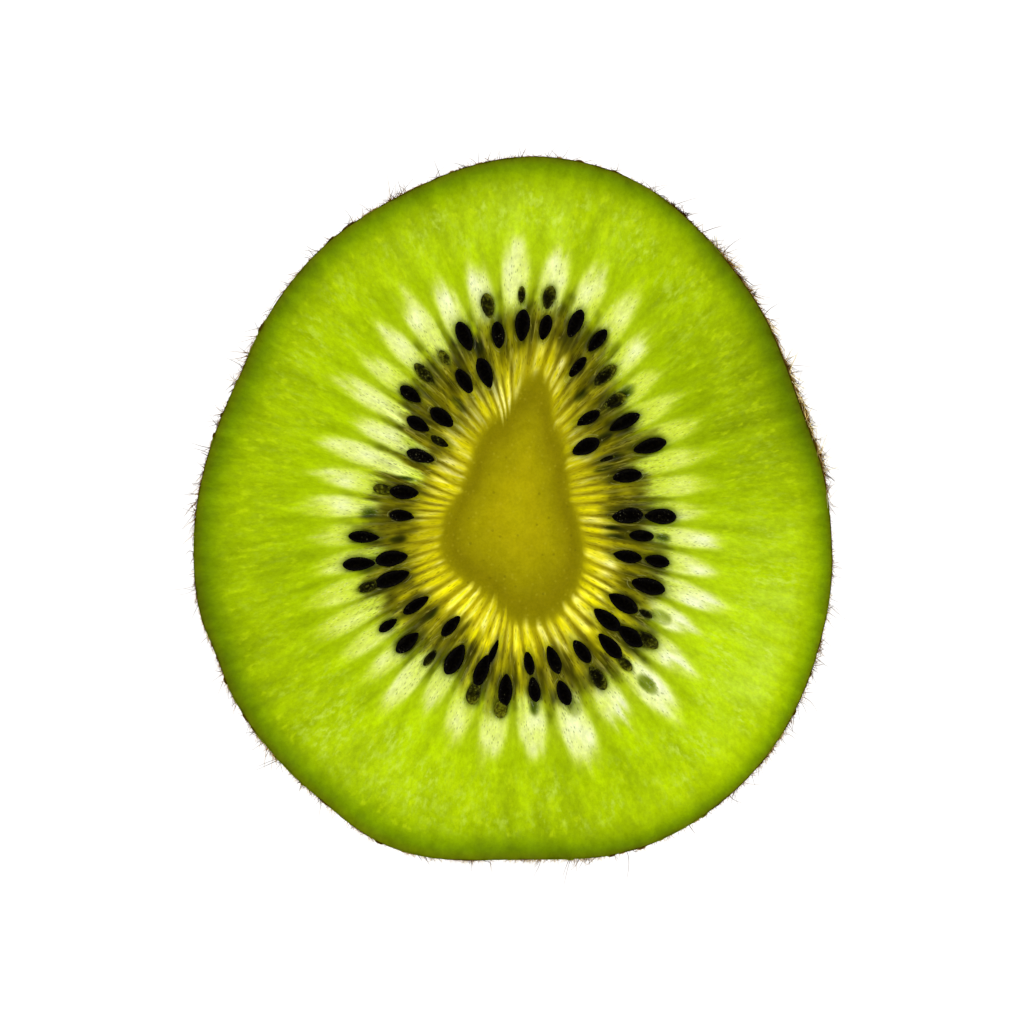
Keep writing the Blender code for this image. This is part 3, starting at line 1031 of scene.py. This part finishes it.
def make_veiled_material():
    material, tree = new_material("veiled_seed", Specular_IOR_Level=0.02)
    place = object_place(tree)
    pits, broad = place.noise(4600, 4.0, 0.72), place.noise(1500, 3.0, 0.6)
    specks = pits.spread(0.50, 0.70) * broad.spread(0.42, 0.58, 0.15, 1.0)
    film = pits.spread(0.4, 0.6).shades((66, 64, 2), (112, 118, 16))
    cover = attribute_of(tree, "veil", "Fac") * broad.spread(0.38, 0.60, 0.10, 1.0)
    colour = cover.shades(specks.shades((9, 8, 1), (96, 98, 32)), film)
    finish(tree, colour, (pits, 0.25, 0.45), (pits, 0.4, 0.03))
    return material


add_seeds("seeds", BARE_SEEDS, BARE_SUNK, make_seed_material(), 51)
add_seeds("veiled_seeds", VEILED_SEEDS, VEILED_SUNK, make_veiled_material(), 52)

# %% [markdown]
# ## Skin
#
# The skin is a dull brown band no thicker than card. It is a closed loft like the flesh: up the outside,
# over the cut edge, down the inside, along the bottom. The outside is lumpy, with dark flakes standing out
# in patches, and the cut edge is a little ragged: green where the knife left flesh on it, brown elsewhere.

# %% Skin
SKIN_ROWS = 26
SKIN_NOISE_HEIGHT = 5.0  # how far up the noise net the side reaches
LUMP_NOISE = ((0.04, 160, 0.9, 61), (0.04, 500, 0.35, 62))
RAGGED_NOISE = ((0.05, 420, 1.0, 63), (0.04, 130, 1.0, 64))
FLAKE_HEIGHT = 0.12
BROWN_EDGE = -0.05, (
    (1.4, 32, 34), (0.6, 100, 18), (0.7, 178, 12), (0.4, 150, 8), (0.3, 330, 14),
), ((1.0, 70, 1.0, 65), (0.5, 260, 1.0, 66))
SKIN_AROUND = np.arange(1600)[None, :] * 360 / 1600


def make_skin_material():
    material, tree = new_material("skin", Specular_IOR_Level=0.03)
    place = object_place(tree)
    fine = place.noise(5200, 4.0, 0.7)
    colour = place.noise(1100, 4.0, 0.65).spread(0.36, 0.64).shades((108, 80, 38), (148, 116, 62))
    colour = fine.spread(0.54, 0.70).shades(colour, (74, 52, 28))
    colour = (place.noise(3400, 3.0, 0.6).spread(0.54, 0.70) * 0.6).shades(colour, (196, 172, 126))
    at_cut, brown, _ = attribute_of(tree, "lip").channels()
    colour = at_cut.shades(colour, brown.shades((92, 106, 4), (66, 50, 0)))
    finish(tree, colour, (fine, 0.6, 0.85), (fine, 0.6, 0.06))
    return material


def make_skin():
    around = SKIN_AROUND
    up = np.linspace(0, 1, SKIN_ROWS)[:, None]
    net_up, level = up * SKIN_NOISE_HEIGHT, np.zeros((1, 1))
    flakes = smooth(patches(around, net_up, 250, 1.5, 67), 0.32, 0.66)
    flakes = flakes * smooth(patches(around, net_up, 40, 5.0, 68), -0.2, 0.2)
    lumps = uneven(around, net_up, LUMP_NOISE) * (1 - 0.6 * up)
    outer = side_distance(around, up) + lumps + FLAKE_HEIGHT * flakes
    outer_height = THICKNESS * up + uneven(around, level, RAGGED_NOISE) * smooth(up, 0.9, 1.0)
    inner = flesh_side(around, np.array([[1.0], [0.0]]))
    distance = np.concatenate([outer, inner])
    height = np.concatenate([outer_height, outer_height[-1:] - 0.04, np.zeros_like(outer_height[:1])])
    piece = add_loft("skin", around, distance, height, make_skin_material(), 60)
    lip = smooth(height, THICKNESS - 0.35, THICKNESS - 0.05)
    brown = varied(around, level, *BROWN_EDGE) + 1.5 * flakes[-1]
    brown = np.broadcast_to(smooth(brown, -0.2, 0.4), lip.shape)
    store(piece, "lip", "FLOAT_COLOR", np.stack([lip, brown, 0 * lip], axis=-1))


make_skin()

# %% [markdown]
# ## Hairs
#
# A kiwi's fuzz is fine, bent hairs: some lie flat as a tangled mat, some stand up short, and a few are
# long. Each is a tapered three-sided tube along a curve: the root leaves the skin in its own direction, and
# a second random direction bends it more and more toward the tip. All hairs hang a little to one side, as
# if brushed. All are worked out in one go as arrays, with one row for each hair.

# %% Hairs
HAIR_SIDES = 3
HAIR_COLOURS = ((34, 20, 0), (106, 68, 8), (204, 170, 86), (246, 234, 176))
BRUSHED, BRUSHED_WAY = 0.9, (0.05, -1.0, 0.0)
ROOT_DEPTH, ROOT_SPREAD = 0.05, 0.3  # in mm and degrees
LENGTH_SPREAD = (1.3, 3.0)  # many short, few long
RIGHT_SIDE = ((1.0, 20, 10), (0.12, 35, 8), (0.22, 51, 7))
LOOSE = (
    (1.0, 59, 10), (0.6, 20, 14), (0.45, 180, 10), (0.25, 150, 12), (0.25, 228, 10), (0.25, 332, 14),
    (0.2, 98, 16),
)
TUFTS = (
    (0.18, 18, 20), (0.15, 58, 14), (0.50, 178, 14), (0.22, 150, 10), (0.28, 228, 12), (0.25, 100, 26),
    (0.25, 325, 18),
)
KNOTS = tuple((1.0, direction, 0.8) for direction in (18.1, 28.0, 45.3, 53.2, 62.7, 64.7))


def hair_places(count, least, bumps, rng):
    """Directions for roots, kept or thrown away so that they are denser where the bumps say, in tufts."""
    tries = rng.uniform(0, 360, count * 40)
    wanted = wavy(tries, least, (), bumps) * (1 + 0.9 * patches(tries, np.zeros(1), 90, 1.0, 71))
    return tries[rng.uniform(0, 2.0, tries.size) < wanted][:count]


def unit(vectors):
    return vectors / (np.linalg.norm(vectors, axis=-1, keepdims=True) + 1e-9)


def hair_curves(roots, up, lengths, lie, steps, sideways, rng):
    """root + length * (s * start + s squared * bend), with s from 0 to 1: a row of points for each hair."""
    stand, flat, curl, hug, _ = lie
    count = roots.size
    x, y = fan_xy(roots, side_distance(roots, up) - ROOT_DEPTH)
    ray = ray_angle(roots)
    outward = np.stack([np.cos(ray), np.sin(ray), np.zeros(count)], axis=-1)
    along = np.stack([-np.sin(ray), np.cos(ray), np.zeros(count)], axis=-1)
    upward, brushed = np.array([0.0, 0.0, 1.0]), np.array(BRUSHED_WAY)
    brushed = brushed - outward * np.minimum(outward @ brushed, 0)[:, None]
    start = outward * (stand * rng.uniform(0.5, 1.5, count))[:, None] + brushed * BRUSHED * flat
    start = unit(start + along * flat * sideways[0][:, None] + upward * 0.5 * flat * sideways[1][:, None])
    bend = rng.normal(0, curl, (count, 3)) + brushed * 0.3 * curl - outward * hug
    length = lengths[0] + (lengths[1] - lengths[0]) * rng.beta(*LENGTH_SPREAD, count)
    step = np.linspace(0, 1, steps)[None, :, None]
    root = np.stack([x, y, up * THICKNESS], axis=-1)
    middle = root[:, None] + length[:, None, None] * (step * start[:, None] + step**2 * bend[:, None])
    middle[..., 2] = np.clip(middle[..., 2], 0.06, THICKNESS - 0.02)
    return middle, unit(np.cross(unit(np.gradient(middle, axis=1)), upward + 0.01 * outward[:, None]))


def add_hairs(name, seed, count, clump, places, lengths, radius, lie, shades, steps):
    """Tubes along the curves, thinner toward the tip. Hairs of one clump share a root and a shade.

    lie is how far they stand off the skin, spread along it, curl, and bend back to it, and the lowest and
    highest place of their roots on the side.
    """
    rng = np.random.default_rng(seed)
    clumps = hair_places(count // clump, *places, rng)
    count = clumps.size * clump
    around = np.repeat(clumps, clump) + rng.normal(0, ROOT_SPREAD, count)
    up = np.repeat(rng.uniform(*lie[-1], clumps.size), clump) + rng.normal(0, 0.02, count)
    sideways = np.repeat(rng.normal(0, 1, (2, clumps.size)), clump, axis=1)
    sideways += 0.4 * rng.normal(0, 1, (2, count))
    middle, side = hair_curves(around, np.clip(up, *lie[-1]), lengths, lie, steps, sideways, rng)
    other = np.cross(side, unit(np.gradient(middle, axis=1)))
    turn = np.arange(HAIR_SIDES) * 2 * np.pi / HAIR_SIDES
    taper = 1 - 0.8 * np.linspace(0, 1, steps)[None, :, None, None] ** 1.5
    width = radius * rng.uniform(0.6, 1.4, count)[:, None, None, None] * taper
    circle = side[:, :, None] * np.cos(turn)[:, None] + other[:, :, None] * np.sin(turn)[:, None]
    size = steps * HAIR_SIDES
    firsts = np.arange(count)[:, None, None] * size
    tubes = (ring_faces(steps, HAIR_SIDES, False)[None] + firsts).reshape(-1, 4)
    ends = (np.array([[[0, 2, 1], [size - 3, size - 2, size - 1]]]) + firsts).reshape(-1, 3)
    points, faces = middle[:, :, None] + width * circle, tubes.tolist() + ends.tolist()
    piece = add_piece(name, points, faces, hair_material, 180)
    shade = np.repeat(rng.uniform(*shades, clumps.size), clump) + rng.normal(0, 0.08, count)
    colours = ramp(shade, [(k / 3, colour) for k, colour in enumerate(HAIR_COLOURS)])
    store(piece, "paint", "FLOAT_COLOR", linear(np.repeat(colours, size, axis=0)))


def make_hair_material():
    material, tree = new_material("fuzz", Roughness=0.7, Specular_IOR_Level=0.05)
    attribute_of(tree, "paint").link(tree.nodes["Principled BSDF"], "Base Color")
    return material


hair_material = make_hair_material()
# A kind has its name, random seed, count, hairs in a clump, places (least, bumps), lengths and radius, and
# then its lie, shades and steps.
HAIR_KINDS = (
    ("down", 80, 8000, 1, (1.0, ()), (0.3, 1.0), 0.016,
     (0.22, 1.0, 0.10, 0.10, (0.02, 0.72)), (0.3, 1.0), 4),
    ("mat", 81, 1000, 3, (0.0, RIGHT_SIDE), (0.5, 2.6), 0.030,
     (0.26, 0.9, 0.10, 0.06, (0.02, 0.99)), (0.0, 1.15), 7),
    ("strands", 85, 480, 2, (0.1, LOOSE), (0.4, 1.5), 0.028,
     (0.28, 1.0, 0.12, 0.20, (0.30, 0.99)), (-0.1, 0.45), 7),
    ("knots", 84, 480, 12, (0.0, KNOTS), (0.12, 0.7), 0.042,
     (0.80, 0.6, 0.30, 0.10, (0.60, 0.99)), (-0.1, 0.25), 6),
    ("fuzz", 82, 1000, 2, (0.35, TUFTS), (0.1, 0.45), 0.030,
     (0.90, 0.5, 0.30, 0.00, (0.40, 0.99)), (0.0, 0.4), 5),
    ("hairs", 83, 560, 2, (0.3, TUFTS), (0.4, 1.8), 0.025,
     (1.00, 0.8, 0.35, 0.00, (0.20, 0.99)), (0.1, 0.6), 7),
)
for kind in HAIR_KINDS:
    add_hairs(*kind)

# %% [markdown]
# ## Floor
#
# The slice lies on a plain white light table, which glows a little, so almost no shadow shows round it.

# %% Floor
FLOOR_HALF = 3.0  # metres


def make_floor():
    material, _ = new_material(
        "light_table", Base_Color=(0.30, 0.30, 0.30, 1.0), Roughness=0.9, Specular_IOR_Level=0.0,
        Emission_Color=(1.0, 1.0, 1.0, 1.0), Emission_Strength=0.92,
    )
    mesh = bpy.data.meshes.new("floor")
    corners = [(x * FLOOR_HALF, y * FLOOR_HALF, 0) for x, y in ((-1, -1), (1, -1), (1, 1), (-1, 1))]
    mesh.from_pydata(corners, [], [(0, 1, 2, 3)])
    mesh.materials.append(material)
    floor = bpy.data.objects.new("floor", mesh)
    bpy.context.scene.collection.objects.link(floor)
    print("floor:", 2 * FLOOR_HALF, "m wide")


make_floor()

# %% [markdown]
# ## Light
#
# Soft light comes from all sides but hardly from straight above: a wet face would mirror that back at the
# camera and turn the green milky. So the surrounding light is strong near the horizon and weak overhead.

# %% Light
HORIZON_LIGHT, OVERHEAD_LIGHT = 2.15, 0.03
FADE_FROM, FADE_TO = 0.50, 0.88  # on a scale where 0 is straight down and 1 straight up


def make_light():
    world = bpy.data.worlds.new("studio")
    bpy.context.scene.world = world
    world.use_nodes = True
    tree = world.node_tree
    direction = Field(tree, "ShaderNodeTexCoord", (), "Generated")
    height = Field(tree, "ShaderNodeSeparateXYZ", [(0, direction)], "Z")
    background = tree.nodes["Background"]
    background.inputs["Color"].default_value = (1.0, 1.0, 1.0, 1.0)
    height.spread(FADE_FROM, FADE_TO, HORIZON_LIGHT, OVERHEAD_LIGHT).link(background, "Strength")
    print("light from", HORIZON_LIGHT, "at the horizon to", OVERHEAD_LIGHT, "overhead")


make_light()

# %% [markdown]
# ## Camera
#
# The camera looks straight down from far away through a long lens, so the side hardly shows.

# %% Camera
CAMERA_LENS, SENSOR_WIDTH = 250.0, 36.0
VIEW_WIDTH = 80.4
AIM = (-0.305, -0.32)  # the middle of the view, in mm from the middle of the slice's box


def make_camera():
    camera = bpy.data.cameras.new("camera")
    camera.lens, camera.sensor_width = CAMERA_LENS, SENSOR_WIDTH
    camera.clip_start, camera.clip_end = 0.01, 20.0
    holder = bpy.data.objects.new("camera", camera)
    distance = VIEW_WIDTH * CAMERA_LENS / SENSOR_WIDTH
    holder.location = [value / 1000 for value in (*AIM, THICKNESS + distance)]
    bpy.context.scene.collection.objects.link(holder)
    bpy.context.scene.camera = holder
    bpy.context.scene.view_settings.view_transform = "Standard"
    print("camera height, mm:", round(THICKNESS + distance))


make_camera()
